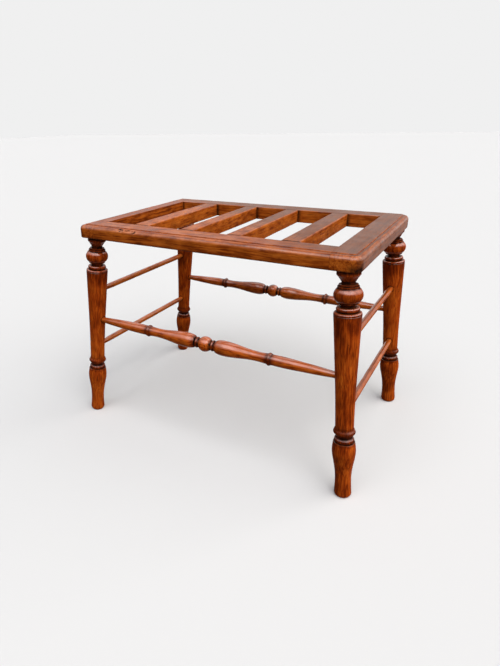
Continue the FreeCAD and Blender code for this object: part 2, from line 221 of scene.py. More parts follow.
woodColours = dict(
    stain=(0.085, 0.011, 0.002, 1), pore=(0.045, 0.007, 0.0015, 1), shade=(0.10, 0.030, 0.008, 1),
    grime=(0.010, 0.0045, 0.003, 1), wornAndHighlight=(0.60, 0.165, 0.042, 1), wornVarnishAndHighlight=(0.52, 0.11, 0.022, 1),
    paintedHighlight=(0.64, 0.13, 0.028, 1),
)
planedTones = ((0.0, (0.080, 0.011, 0.0018, 1)), (0.3, (0.21, 0.036, 0.0038, 1)),
               (0.56, (0.38, 0.080, 0.0080, 1)), (1.0, (0.54, 0.140, 0.0170, 1)))
turnedTones = ((0.0, (0.090, 0.0100, 0.0014, 1)), (0.3, (0.19, 0.024, 0.0024, 1)),
               (0.56, (0.35, 0.053, 0.0048, 1)), (1.0, (0.54, 0.112, 0.0110, 1)))
planedWood = dict(
    tones=planedTones, wearAndHighlightColour="wornAndHighlight", fibreScale=600.0, mottleScale=90.0, pores=0.5, roughness=0.42,
    coat=0.9, coatIor=1.6, shineFrom=0.10, shineFull=0.4, paintedHighlight=0.0, bump=0.3)
turnedWood = dict(
    tones=turnedTones, wearAndHighlightColour="wornVarnishAndHighlight", fibreScale=950.0, mottleScale=80.0, mottleShare=0.28,
    roughness=0.40, coat=1.0, coatIor=1.7, shineFrom=0.3, topDullness=0.0, bump=0.2)
finishes = dict(
    endRail=dict(planedWood, slot="frame_wood", streakScale=230.0, mottleShare=0.28,
                 toneLow=0.10, toneHigh=0.88, stain=0.3, wear=0.5, topDullness=0.45),
    longRail=dict(planedWood, slot="frame_wood", streakScale=240.0, mottleShare=0.30,
                  toneLow=0.12, toneHigh=0.84, stain=0.35, wear=0.6, coat=0.95, shineFull=0.45,
                  topDullness=0.52),
    slat=dict(planedWood, slot="slat_wood", streakScale=220.0, mottleScale=130.0, mottleShare=0.38,
              toneLow=-0.02, toneHigh=0.82, stain=0.4, wear=0.4, roughness=0.45, topDullness=0.52),
    leg=dict(turnedWood, slot="turned_wood", streakScale=420.0, toneLow=0.14, toneHigh=0.86, pores=0.65,
             stain=0.5, wear=0.55, shineFrom=0.32, shineFull=0.52, topDullness=0.15, paintedHighlight=0.3),
    stretcher=dict(turnedWood, slot="turned_wood", streakScale=380.0, toneLow=0.08, toneHigh=0.60, pores=0.8,
                   stain=0.45, wear=0.6, shineFull=0.55, paintedHighlight=0.42),
    dowel=dict(turnedWood, slot="dowel_wood", tones=planedTones, streakScale=360.0,
               toneLow=0.05, toneHigh=0.80, pores=0.4, stain=0.3, wear=0.5, roughness=0.42,
               coat=0.9, coatIor=1.6, shineFull=0.6, paintedHighlight=0.2),
)
ageing = dict(pits=0.7, shade=0.8, grime=1.0, rougher=dict(Stain=0.1, Grime=0.3, Scuff=0.12), scuffDepth=0.4,
              bumpDepth=0.5 * mm, bareIor=1.05, coatRoughness=0.17)


def buildWood(name, look):
    material = bpy.data.materials.new(name)
    make = emptyTree(material)
    grain = make("ShaderNodeAttribute", attribute_name="grainSpace").outputs["Vector"]
    grime, wear, greyedFace, paleness = (make("ShaderNodeAttribute", attribute_name=label).outputs["Fac"]
                                        for label in ("grime", "wear", "greyedFace", "paleness"))
    upward = separate(make, make("ShaderNodeNewGeometry").outputs["Normal"])["Z"]
    figure = make("ShaderNodeGroup", {
        "Vector": grain, "Streak Scale": look["streakScale"], "Fibre Scale": look["fibreScale"],
        "Mottle Scale": look["mottleScale"], "Mottle Share": look["mottleShare"],
    }, node_tree=woodFigure).outputs
    aged = make("ShaderNodeGroup", {
        "Vector": make("ShaderNodeTexCoord").outputs["Object"], "Upward": upward,
        "Grime": grime, "Wear": wear, "Weathered": greyedFace, "Top Dullness": look["topDullness"],
        "Shine From": look["shineFrom"], "Shine Full": look["shineFull"],
    }, node_tree=agedPolishAndLight).outputs
    tone = plus(make, remap(make, figure["Tone"], look["toneLow"], look["toneHigh"]), paleness)
    ramp = make("ShaderNodeValToRGB", {0: tone})
    steps = ramp.color_ramp.elements
    while len(steps) < len(look["tones"]):
        steps.new(0.5)
    for step, (position, colour) in zip(steps, look["tones"]):
        step.position = position
        step.color = colour
    colour = ramp.outputs[0]
    # Besides stain and wear these layers paint light: the red-orange layer is a painted highlight where the
    # polish mask is strong, the worn layer also paints highlights, and the near-black layer also paints
    # shade.
    layers = [("stain", aged["Stain"], look["stain"]), ("pore", figure["Pores"], look["pores"]),
              ("pore", aged["Pits"], ageing["pits"]), ("shade", aged["Shade"], ageing["shade"]),
              ("paintedHighlight", aged["Polish"], look["paintedHighlight"]), (look["wearAndHighlightColour"], aged["Wear"], look["wear"]),
              ("grime", aged["Grime"], ageing["grime"])]
    for layer, mask, amount in layers:
        colour = mixColour(make, times(make, mask, amount), colour, woodColours[layer])
    rough = look["roughness"]
    for label, amount in ageing["rougher"].items():
        rough = plus(make, times(make, aged[label], amount), rough, clamp=True)
    height = minus(make, figure["Height"], times(make, aged["Scuff"], ageing["scuffDepth"]))
    height = minus(make, height, aged["Pits"])
    bump = {"Height": height, "Strength": look["bump"], "Distance": ageing["bumpDepth"]}
    shader = make("ShaderNodeBsdfPrincipled", {
        "Base Color": colour, "Roughness": rough, "Normal": make("ShaderNodeBump", bump).outputs[0],
        "Coat Weight": times(make, aged["Polish"], look["coat"]), "Coat Roughness": ageing["coatRoughness"],
        "Coat IOR": look["coatIor"], "IOR": ageing["bareIor"]})
    make("ShaderNodeOutputMaterial", {"Surface": shader.outputs[0]})
    return material


woods = {name: buildWood(name + "Wood", look) for name, look in finishes.items()}
print("wood finishes made:", ", ".join(woods))


# Swept pieces: Geometry Nodes lead a line of points round or along a grid

sweep = dict(merge=0.01 * mm, grainShift=(0.31, 0.23, 1.7), sharpAngle=radians(42))


def sweepTree(name, ownInputs):
    shared = [("Geometry", "Geometry", None), ("Unevenness", "Float", 0.3 * mm),
              ("Unevenness Scale", "Float", 22.0), ("Seed", "Int", 0), ("Finish", "Material", None)]
    return newGroup(name, "GeometryNodeTree", shared + ownInputs, [("Geometry", "Geometry")])


def herePosition(make):
    return make("GeometryNodeInputPosition").outputs[0]


def sweepGrid(make, line, columns):   # a grid with one row for each point of the line, and that point's index
    count = make("GeometryNodeAttributeDomainSize", {"Geometry": line}).outputs["Point Count"]
    sizes = {"Size X": 1.0, "Size Y": 1.0, "Vertices X": columns, "Vertices Y": count}
    mesh = make("GeometryNodeMeshGrid", sizes).outputs["Mesh"]
    across, along, _ = separate(make, herePosition(make))
    index = maths(make, "ROUND", times(make, plus(make, along, 0.5), minus(make, count, 1)))
    return mesh, across, index


def sampleLine(make, line, index, label=None):   # the place of a point of the line, or one of its values
    value, kind = herePosition(make), "FLOAT_VECTOR"
    if label:
        named = make("GeometryNodeInputNamedAttribute", {"Name": label}, data_type="FLOAT")
        value, kind = named.outputs["Attribute"], "FLOAT"
    inputs = {"Geometry": line, "Value": value, "Index": index}
    return make("GeometryNodeSampleIndex", inputs, data_type=kind).outputs[0]


def storeValue(make, mesh, label, value, kind="FLOAT"):
    inputs = {"Geometry": mesh, "Name": label, "Value": value}
    return make("GeometryNodeStoreNamedAttribute", inputs, data_type=kind, domain="POINT").outputs[0]


def finishSweep(make, mesh, place, given):   # gives the grid its shape, grain, hand work and finish
    mesh = make("GeometryNodeSetPosition", {"Geometry": mesh, "Position": place}).outputs[0]
    mesh = make("GeometryNodeMergeByDistance", {"Geometry": mesh, "Distance": sweep["merge"]}).outputs[0]
    shift = vectorMaths(make, "SCALE", sweep["grainShift"], given["Seed"])
    grain = vectorMaths(make, "ADD", herePosition(make), shift)
    mesh = storeValue(make, mesh, "grainSpace", grain, "FLOAT_VECTOR")
    wavy = {"W": given["Seed"], "Scale": given["Unevenness Scale"], "Detail": 2.0}
    waves = make("ShaderNodeTexNoise", wavy, noise_dimensions="4D").outputs["Fac"]
    amount = times(make, minus(make, waves, 0.5), given["Unevenness"])
    offset = vectorMaths(make, "SCALE", make("GeometryNodeInputNormal").outputs[0], amount)
    mesh = make("GeometryNodeSetPosition", {"Geometry": mesh, "Offset": offset}).outputs[0]
    mesh = make("GeometryNodeSetShadeSmooth", {"Geometry": mesh}).outputs[0]
    mesh = make("GeometryNodeRealizeInstances", {"Geometry": mesh}).outputs[0]
    mesh = make("GeometryNodeSetMaterial", {"Geometry": mesh, "Material": given["Finish"]}).outputs[0]
    make("NodeGroupOutput", {"Geometry": mesh})


def buildTurnedTree():
    tree, make, given = sweepTree("turnedPiece", [("Segments", "Int", 96)])
    outline = given["Geometry"]
    mesh, across, index = sweepGrid(make, outline, plus(make, given["Segments"], 1))
    for label in ("grime", "wear", "paleness"):
        mesh = storeValue(make, mesh, label, sampleLine(make, outline, index, label))
    angle = times(make, across, 2 * pi)
    radius, _, height = separate(make, sampleLine(make, outline, index))
    wide = times(make, radius, maths(make, "COSINE", angle))
    deep = times(make, radius, maths(make, "SINE", angle))
    place = make("ShaderNodeCombineXYZ", {0: wide, 1: deep, 2: height}).outputs[0]
    finishSweep(make, mesh, place, given)
    return tree


def buildSlatTree():
    ownInputs = [("Length", "Float", 0.3), ("Steps", "Int", 150), ("End Grime And Shade", "Float", 0.9),
                 ("End Grime And Shade Reach", "Float", 8 * mm)]
    tree, make, given = sweepTree("slat", ownInputs)
    section, length, steps = given["Geometry"], given["Length"], given["Steps"]
    mesh, across, index = sweepGrid(make, section, plus(make, steps, 3))
    row = times(make, plus(make, across, 0.5), plus(make, steps, 2))
    along = times(make, maths(make, "DIVIDE", minus(make, row, 1.0), steps, clamp=True), length)
    afterFirst = maths(make, "GREATER_THAN", row, 0.5)
    beforeLast = maths(make, "LESS_THAN", row, plus(make, steps, 1.5))
    inside = times(make, afterFirst, beforeLast)   # the first and last rows close the ends in a point
    edge = maths(make, "MINIMUM", along, minus(make, length, along))
    # The slat's ends, where they meet the front and back rails, get grime and painted shade.
    grime = remap(make, edge, 0.0, given["End Grime And Shade Reach"], given["End Grime And Shade"], 0.0)
    mesh = storeValue(make, mesh, "wear", sampleLine(make, section, index, "wear"))
    mesh = storeValue(make, mesh, "grime", grime)
    wide, _, high = separate(make, sampleLine(make, section, index))
    place = {0: times(make, wide, inside), 1: times(make, high, inside), 2: along}
    finishSweep(make, mesh, make("ShaderNodeCombineXYZ", place).outputs[0], given)
    return tree


def lineMesh(name, points, attributes):   # points joined by edges, with values on the points
    mesh = bpy.data.meshes.new(name)
    mesh.from_pydata(points, [(i, i + 1) for i in range(len(points) - 1)], [])
    for label, values in attributes.items():
        layer = mesh.attributes.new(label, "FLOAT", "POINT")
        for item, value in zip(layer.data, values):
            item.value = value
    return mesh


def runTree(name, hostMesh, tree, values):   # the tree's result as a plain mesh
    host = bpy.data.objects.new(name + "_host", hostMesh)
    scene.collection.objects.link(host)
    modifier = host.modifiers.new("shape", "NODES")
    modifier.node_group = tree
    for item in tree.interface.items_tree:
        if item.item_type == "SOCKET" and item.in_out == "INPUT" and item.name in values:
            modifier[item.identifier] = values[item.name]
    graph = bpy.context.evaluated_depsgraph_get()
    swept = host.evaluated_get(graph)
    mesh = bpy.data.meshes.new_from_object(swept, preserve_all_data_layers=True, depsgraph=graph)
    bpy.data.objects.remove(host)
    bpy.data.meshes.remove(hostMesh)
    return mesh


def closeMesh(mesh, matrix, planes):   # places the mesh, cuts it flat at each plane and closes the cut
    work = bmesh.new()
    work.from_mesh(mesh)
    bmesh.ops.transform(work, matrix=matrix, verts=work.verts)
    for point, outward in planes:
        everything = work.verts[:] + work.edges[:] + work.faces[:]
        cut = bmesh.ops.bisect_plane(work, geom=everything, dist=1e-6, plane_co=point, plane_no=outward,
                                     clear_outer=True)
        rim = [item for item in cut["geom_cut"] if isinstance(item, bmesh.types.BMEdge)]
        bmesh.ops.holes_fill(work, edges=rim, sides=0)
    bmesh.ops.recalc_face_normals(work, faces=work.faces)
    work.to_mesh(mesh)
    work.free()
    mesh.set_sharp_from_angle(angle=sweep["sharpAngle"])


def addPiece(name, node, mesh, finish):
    piece = bpy.data.objects.new(name, mesh)
    scene.collection.objects.link(piece)
    if not mesh.materials:
        mesh.materials.append(woods[finish])
    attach(piece, "root")
    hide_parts(node)
    return piece


turnedTree = buildTurnedTree()
slatTree = buildSlatTree()


# Turned work: an outline of (radius, height) points in millimetres

turning = dict(
    arcStep=1.1, curveStep=2.2, lineStep=4.0,   # how far apart the outline's points are
    cornerRound=0.45, cornerShare=0.42, straight=radians(25), unevennessScale=22.0,
    spans=((1.6, 1.0), (3.2, 1.0), (6.5, 0.8), (14.0, 0.5)),   # lengths looked over, with their weights
    # Hollows get grime and painted shade, crests get wear and a painted highlight.
    hollowFull=0.36, hollowFrom=0.08, crestFull=0.40, crestFrom=0.25, crestSpan=4.0, crestWear=0.12,
    dirtSpread=0.7, dirtShare=0.9, jointDirt=3.5, jointDepth=50.0,
)


def chordLengths(table):
    return np.hypot(*(table[1:] - table[:-1]).T)


def splinePoints(points, step):   # natural cubic spline through the points, by chord length
    table = np.array(points, float)
    chords = chordLengths(table)
    count = len(table)
    system = np.zeros((count, count))
    right = np.zeros((count, 2))
    system[0, 0] = system[-1, -1] = 1
    for i in range(1, count - 1):
        before, after = chords[i - 1], chords[i]
        system[i, i - 1:i + 2] = before, 2 * (before + after), after
        right[i] = 6 * ((table[i + 1] - table[i]) / after - (table[i] - table[i - 1]) / before)
    bend = np.linalg.solve(system, right)
    result = []
    for i, span in enumerate(chords):
        parts = max(2, round(span / step))
        fromHere = table[i] / span - bend[i] * span / 6
        fromNext = table[i + 1] / span - bend[i + 1] * span / 6
        for k in range(1, parts + 1):
            s = span * k / parts
            r = span - s
            value = (bend[i] * r ** 3 + bend[i + 1] * s ** 3) / (6 * span) + fromHere * r + fromNext * s
            result.append(tuple(value))
    return result


def arcPoints(start, middle, end, step):   # the circle through three points, from the first to the last
    (ax, ay), (bx, by), (cx, cy) = start, middle, end
    d = 2 * (ax * (by - cy) + bx * (cy - ay) + cx * (ay - by))
    a, b, c = ax * ax + ay * ay, bx * bx + by * by, cx * cx + cy * cy
    ox = (a * (by - cy) + b * (cy - ay) + c * (ay - by)) / d
    oy = (a * (cx - bx) + b * (ax - cx) + c * (bx - ax)) / d
    first, half, last = (atan2(y - oy, x - ox) for x, y in (start, middle, end))
    turn = (last - first) % (2 * pi)
    if (half - first) % (2 * pi) > turn:
        turn -= 2 * pi
    radius = hypot(ax - ox, ay - oy)
    parts = max(4, round(abs(turn) * radius / step))
    angles = [first + turn * k / parts for k in range(1, parts + 1)]
    return [(ox + radius * cos(angle), oy + radius * sin(angle)) for angle in angles]


def linePoints(start, end, step):
    parts = max(1, round(hypot(end[0] - start[0], end[1] - start[1]) / step))
    return [(start[0] + (end[0] - start[0]) * k / parts, start[1] + (end[1] - start[1]) * k / parts)
            for k in range(1, parts + 1)]


def turnedOutline(start, steps):   # a step of one point is a line, two are an arc and more are a curve
    points = [start]
    for step in steps:
        here = points[-1]
        if len(step) == 1:
            points += linePoints(here, step[0], turning["lineStep"])
        elif len(step) == 2:
            points += arcPoints(here, step[0], step[1], turning["arcStep"])
        else:
            points += splinePoints([here] + step, turning["curveStep"])
    return points


def softenCorners(points, radius):   # every sharp corner of the outline becomes a small round
    soft = [points[0]]
    for before, here, after in zip(points, points[1:], points[2:]):
        a, b = Vector(before) - Vector(here), Vector(after) - Vector(here)
        if a.length < 1e-6 or b.length < 1e-6:
            continue
        if a.angle(-b) < turning["straight"]:
            soft.append(here)
            continue
        first = Vector(here) + a.normalized() * min(radius, a.length * turning["cornerShare"])
        last = Vector(here) + b.normalized() * min(radius, b.length * turning["cornerShare"])
        middle = (first + last) / 4 + Vector(here) / 2
        soft += [tuple(first), tuple(middle), tuple(last)]
    return soft + [points[-1]]


def hollowAndCrest(points):   # grime and painted shade in the hollows of an outline, and wear and painted highlight on its crests
    t = SimpleNamespace(**turning)
    table = np.array(points, float)
    along = np.concatenate([[0], np.cumsum(chordLengths(table))])
    grime = np.zeros(len(table))
    wear = np.zeros(len(table))
    for span, weight in t.spans:
        before, after = (np.stack([np.interp(along + way, along, column) for column in table.T], 1)
                         for way in (-span, span))
        chord = after - before
        outward = np.stack([chord[:, 1], -chord[:, 0]], 1) / np.maximum(np.hypot(*chord.T), 1e-6)[:, None]
        hollow = np.sum(((before + after) / 2 - table) * outward, axis=1) / span
        grime = np.maximum(grime, weight * np.clip(hollow / t.hollowFull - t.hollowFrom, 0, 1))
        if span < t.crestSpan:
            wear = np.maximum(wear, t.crestWear * weight * np.clip(-hollow / t.crestFull - t.crestFrom, 0, 1))
    for way in (-t.dirtSpread, t.dirtSpread):   # the grime and painted shade spread a little out of each hollow
        grime = np.maximum(grime, t.dirtShare * np.interp(along + way, along, grime))
    return grime, wear


def turnedPiece(node, outline, matrix, finish, seed, shape, marks, planes=()):
    soft = softenCorners(outline, turning["cornerRound"])
    heights = [height for _, height in soft]
    grime, wear = hollowAndCrest(soft)
    values = dict(grime=grime, wear=wear, paleness=np.zeros(len(soft)))
    for label, profile in marks:   # each profile is a line of (height, value) points
        profileHere = np.interp(heights, *zip(*profile))
        if label == "paleness":
            values[label] = values[label] + profileHere
        else:
            values[label] = np.maximum(values[label], profileHere)
    host = lineMesh(node, [(radius * mm, 0, height * mm) for radius, height in soft], values)
    mesh = runTree(node, host, turnedTree, {
        "Segments": shape["segments"], "Unevenness": shape["unevenness"] * mm,
        "Unevenness Scale": turning["unevennessScale"], "Seed": seed, "Finish": woods[finish]})
    closeMesh(mesh, matrix, planes)
    return mesh


def dirtRound(mesh, point, direction, radius):   # grime on a leg where a round end enters it
    for vertex, item in zip(mesh.vertices, mesh.attributes["grime"].data):
        away = vertex.co - point
        along = away.dot(direction)
        if 0 <= along <= turning["jointDepth"] * mm:
            gap = (away - direction * along).length / mm - radius
            item.value = max(item.value, min(1.0, 1 - gap / turning["jointDirt"]))


def alongAxis(start, end):   # turns +Z to the axis and moves the origin to its start
    turn = Vector((0, 0, 1)).rotation_difference(end - start)
    return Matrix.Translation(start) @ turn.to_matrix().to_4x4()


# Where things stand, read from the frame

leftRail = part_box("end_rail_left")
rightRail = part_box("end_rail_right")
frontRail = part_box("front_rail")
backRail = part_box("back_rail")
underside, frameTop = leftRail[0][2], leftRail[1][2]
outerLeft, outerRight = leftRail[0][0], rightRail[1][0]
outerFront, outerBack = leftRail[0][1], leftRail[1][1]
openingLeft, openingRight = leftRail[1][0], rightRail[0][0]
openingFront, openingBack = frontRail[1][1], backRail[0][1]
feet = {mount["name"]: Vector(mount["pos_m"]) for mount in frame["record"]["mounts"]}
sideName = {-1: "left", 1: "right"}
depthName = {-1: "front", 1: "back"}
firstSeed = dict(legs=1, stretchers=5, dowels=7, slats=21, rails=31)
stance = dict(fromEnds=24.0 * mm, fromSides=23.6 * mm)   # from the frame's outer faces to the legs' axes


def legAxis(sideX, sideY):   # where a leg's axis meets the floor and the frame's underside
    foot = feet[f"foot_{depthName[sideY]}_{sideName[sideX]}"]
    top = (sideX * (outerRight - stance["fromEnds"]), sideY * (outerBack - stance["fromSides"]), underside)
    return foot, Vector(top)


# Legs, all sizes in millimetres along the leg's own axis

legShape = dict(
    footRadius=16.2, footRounding=9.0, footTrim=2.0, waistRadius=15.4, waistHeight=48.0,
    bulbRadius=21.8, bulbHeight=99.0, bulbShoulderRadius=19.8, bulbShoulderHeight=118.0,
    grooveRadius=17.2, grooveWidth=1.5, beadRadius=18.0, beadWidth=6.0, ankleRadius=14.8, ankleHeight=130.0,
    ringRadius=20.2, ringHeight=139.0, ringEdge=1.4, ringLowerSlope=4.8, ringUpperSlope=8.2,
    shaftFootRadius=16.8, shaftLower=(17.4, 193.0), shaftUpper=(20.4, 280.0),
    shoulderRadius=24.0, shoulderHeight=4.4, shoulderRounding=3.0, lineDepth=0.7, lineWidth=1.2,
    collarRadius=20.0, collarArris=1.6, collarHeight=6.8, ballRadius=24.6, ballFoot=18.6, ballHeight=24.9,
    shoulderGroove=(17.4, 1.6), collarNeck=(12.2, 6.5), underBall=(17.8, 2.4),   # radius and height
    lowerFillet=(18.3, 3.4), upperFillet=(16.2, 3.2), neck=(11.8, 5.0),
    cupBase=12.5, cupRim=20.2, cupHeight=19.6, cupRimHeight=8.2, cupHollow=0.4,
    segments=96, unevenness=0.35,
    # The ring and bead band is darker with grime; the top few millimetres get grime and a painted shadow
    # under the frame.
    darkening=((112, 0.0), (118, 0.25), (142, 0.35), (146, 0.0)), topGrimeAndShadow=((-5.85, 0.0), (-4.35, 1.0)),
    footWear=((-2.0, 1.02), (7.2, 0.0)),
    # Tone: darker at the ring and bead, and from the top of the shaft up to the frame, bar the ball's middle,
    # where the darkening is painted shade under the frame.
    tone=((112, 0.0), (118, -0.3), (127, -0.42), (142, -0.42), (152, 0.0), (330, 0.0), (352, -0.28),
          (372, -0.28), (388, -0.2), (396, 0.0), (407, 0.0), (415, -0.25), (430, -0.25), (444, -0.2)),
    paler=dict(leg_front_left=((190, 0.13), (215, 0.0)),
               leg_back_right=((130, 0.0), (160, 0.15), (300, 0.15), (330, 0.0))),
)


def band(radius, low, high):   # a step in to a straight band of the outline, and the band itself
    return [(radius, low)], [(radius, high)]


def legOutline(shape, length):
    s = SimpleNamespace(**shape)
    floor = -s.footTrim
    quarter = 1 - 1 / sqrt(2)   # how far the middle of a quarter round stands in from its corner
    footKnee, shoulderKnee = s.footRounding * quarter, s.shoulderRounding * quarter
    grooveTop = s.bulbShoulderHeight + s.grooveWidth
    ringUnder, ringOver = s.ringHeight - s.ringEdge / 2, s.ringHeight + s.ringEdge / 2
    tiers = [s.shoulderGroove[1], s.collarHeight, s.collarNeck[1], s.underBall[1], s.ballHeight,
             s.lowerFillet[1], s.upperFillet[1], s.neck[1]]
    shoulder = length - s.cupHeight - sum(tiers)
    collar, collarTop, ballFillet, ball, ballTop, filletTop, neck, neckTop = shoulder + np.cumsum(tiers)
    line = shoulder - s.shoulderHeight
    collarEdge = s.collarRadius - s.collarArris
    rim = length - s.cupRimHeight
    above = length + s.footTrim
    steps = [
        [(s.footRadius - s.footRounding, floor)],
        [(s.footRadius - footKnee, floor + footKnee), (s.footRadius, floor + s.footRounding)],
        [(s.waistRadius, s.waistHeight),
         ((s.waistRadius + s.bulbRadius) / 2, (s.waistHeight + s.bulbHeight) / 2),
         (s.bulbRadius, s.bulbHeight), (s.bulbShoulderRadius, s.bulbShoulderHeight)],
        *band(s.grooveRadius, s.bulbShoulderHeight, grooveTop),
        [(s.beadRadius, grooveTop + s.beadWidth / 2),
         ((s.grooveRadius + s.beadRadius) / 2, grooveTop + s.beadWidth)],
        [(s.ankleRadius, s.ankleHeight), (s.shaftFootRadius, ringUnder - s.ringLowerSlope)],
        *band(s.ringRadius, ringUnder, ringOver),
        [(s.shaftFootRadius, ringOver + s.ringUpperSlope)],
        [s.shaftLower, s.shaftUpper, (s.shoulderRadius, line - s.lineWidth)],
        [(s.shoulderRadius - s.lineDepth, line - s.lineWidth / 2)],
        *band(s.shoulderRadius, line, shoulder - s.shoulderRounding),
        [(s.shoulderRadius - shoulderKnee, shoulder - shoulderKnee),
         (s.shoulderRadius - s.shoulderRounding, shoulder)],
        *band(s.shoulderGroove[0], shoulder, collar),
        [(collarEdge, collar)],
        [(s.collarRadius, (collar + collarTop) / 2), (collarEdge, collarTop)],
        *band(s.collarNeck[0], collarTop, ballFillet),
        *band(s.underBall[0], ballFillet, ball),
        [(s.ballFoot, ball)],
        [(s.ballRadius, (ball + ballTop) / 2), (s.lowerFillet[0], ballTop)],
        [(s.lowerFillet[0], filletTop)],
        *band(s.upperFillet[0], filletTop, neck),
        *band(s.neck[0], neck, neckTop),
        [(s.cupBase, neckTop)],
        [((s.cupBase + s.cupRim) / 2 - s.cupHollow, (neckTop + rim) / 2), (s.cupRim, rim)],
        [(s.cupRim, above)],
        [(0, above)],
    ]
    return turnedOutline((0, floor), steps)


def addLeg(sideX, sideY, seed):
    node = f"leg_{depthName[sideY]}_{sideName[sideX]}"
    foot, top = legAxis(sideX, sideY)
    length = (top - foot).length / mm
    marks = [("grime", [(length + place, value) for place, value in legShape["topGrimeAndShadow"]]),
             ("grime", legShape["darkening"]), ("wear", legShape["footWear"]), ("paleness", legShape["tone"])]
    if node in legShape["paler"]:
        marks.append(("paleness", legShape["paler"][node]))
    planes = [(Vector((0, 0, 0)), Vector((0, 0, -1))), (Vector((0, 0, underside)), Vector((0, 0, 1)))]
    outline = legOutline(legShape, length)
    mesh = turnedPiece(node, outline, alongAxis(foot, top), "leg", seed, legShape, marks, planes)
    low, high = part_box(depthName[sideY] + "_stretcher")
    stretcherHere = foot.lerp(top, (low[2] + high[2]) / 2 / underside)
    dirtRound(mesh, stretcherHere, Vector((-sideX, 0, 0)), stretcherShape["endRadius"])
    for level in ("upper", "lower"):
        here, there = dowelEnds(sideX, level)[::-sideY]
        dirtRound(mesh, here, (there - here).normalized(), dowelShape["endRadius"])
    addPiece(node + "_turned", node, mesh, "leg")


# Long stretchers: radius against distance from the ball, in millimetres

stretcherShape = dict(
    ballRadius=16.2, ballOffset=dict(front_stretcher=3.5, back_stretcher=-10.5),
    grooveRadius=9.6, grooveWidth=3.0, beadRadius=11.6, beadWidth=5.4,
    vaseRadius=15.9, vasePeak=47.0, vaseEnd=11.2, vaseFoot=(9.9, 124.0), vaseFlare=10.7,
    vaseNoseShares=((0.12, 0.42), (0.33, 0.76)), vaseCurveShares=((0.30, 0.73), (0.62, 0.22)),
    ringRadius=dict(front_stretcher=13.0, back_stretcher=14.0), ringPlace=143.7, ringWidth=6.0,
    filletRadius=11.3, filletWidth=1.3, endRadius=6.4, endStraight=16.5,
    tailRadius=10.7, tailShares=((0.16, 1.03), (0.52, 0.90), (0.80, 0.755)), segments=72, unevenness=0.3,
    grooveTone=((13, 0.0), (17, -0.45), (25, -0.45), (34, 0.0),
                (130, 0.0), (138, -0.45), (150, -0.45), (160, 0.0)),
    grooveDirt=((13, 0.0), (16, 0.4), (26, 0.4), (31, 0.0), (134, 0.0), (139, 0.45), (149, 0.45), (153, 0.0)),
    marks=dict(
        front_stretcher=[("grime", ((-280, 0.3), (-150, 0.0)))],
        # The back stretcher is painted darker and duller on its left half and lighter on its right, standing
        # in for light from the right.
        back_stretcher=[("grime", ((-150, 0.0), (-110, 0.38), (0, 0.3), (15, 0.0))),
                        ("paleness", ((0, 0.0), (25, 0.40)))]),
)


def halfStretcher(shape, node, length):   # from the middle of the ball outwards
    s = SimpleNamespace(**shape)
    ballHalf = sqrt(s.ballRadius ** 2 - s.grooveRadius ** 2)
    ballKnee = s.ballRadius / sqrt(2)
    bead = ballHalf + s.grooveWidth
    beadEnd = bead + s.beadWidth
    vase = beadEnd + s.grooveWidth
    ring, ringEnd = s.ringPlace - s.ringWidth / 2, s.ringPlace + s.ringWidth / 2
    fillet, filletEnd = ring - s.filletWidth, ringEnd + s.filletWidth
    tailEnd = length - s.endStraight
    footRadius, footPlace = s.vaseFoot
    nose = [(s.vaseEnd + swell * (s.vaseRadius - s.vaseEnd), vase + along * (s.vasePeak - vase))
            for along, swell in s.vaseNoseShares]
    curve = [(footRadius + swell * (s.vaseRadius - footRadius), s.vasePeak + along * (footPlace - s.vasePeak))
             for along, swell in s.vaseCurveShares]
    tail = [(s.tailRadius * swell, filletEnd + along * (tailEnd - filletEnd))
            for along, swell in s.tailShares]
    steps = [
        [(ballKnee, ballKnee), (s.grooveRadius, ballHalf)],
        [(s.grooveRadius, bead)],
        [(s.beadRadius, (bead + beadEnd) / 2), (s.grooveRadius, beadEnd)],
        [(s.grooveRadius, vase)],
        [(s.vaseEnd, vase)],
        [*nose, (s.vaseRadius, s.vasePeak), *curve, s.vaseFoot, (s.vaseFlare, fillet)],
        *band(s.filletRadius, fillet, ring),
        [(s.ringRadius[node], s.ringPlace), (s.filletRadius, ringEnd)],
        [(s.filletRadius, filletEnd)],
        [(s.tailRadius, filletEnd)],
        [*tail, (s.endRadius, tailEnd)],
        [(s.endRadius, length)],
        [(0, length)],
    ]
    return turnedOutline((s.ballRadius, 0), steps)


def bothWays(profile):   # the same profile to the left and the right of the ball
    return [(-place, value) for place, value in reversed(profile)] + list(profile)


def addStretcher(node, seed):
    low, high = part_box(node)
    ballPlace = stretcherShape["ballOffset"][node] * mm
    ball = Vector((ballPlace, (low[1] + high[1]) / 2, (low[2] + high[2]) / 2))
    left = halfStretcher(stretcherShape, node, (ball.x - low[0]) / mm)
    right = halfStretcher(stretcherShape, node, (high[0] - ball.x) / mm)
    outline = [(radius, -place) for radius, place in reversed(left)] + right[1:]
    marks = [("paleness", bothWays(stretcherShape["grooveTone"])),
             ("grime", bothWays(stretcherShape["grooveDirt"])), *stretcherShape["marks"][node]]
    matrix = alongAxis(ball, ball + Vector((1, 0, 0)))
    mesh = turnedPiece(node, outline, matrix, "stretcher", seed, stretcherShape, marks)
    addPiece(node + "_turned", node, mesh, "stretcher")


# End stretchers: plain dowels between the front and back legs, in millimetres

dowelShape = dict(
    radius=6.5, endRadius=5.8, endStraight=16.5, taper=22.0, fromLegAxis=6.0, segments=40, unevenness=0.6,
    heights={(-1, "upper"): (316, 316), (-1, "lower"): (177.5, 180),   # at the front leg and at the back leg
             (1, "upper"): (311, 305), (1, "lower"): (177, 171)},
)


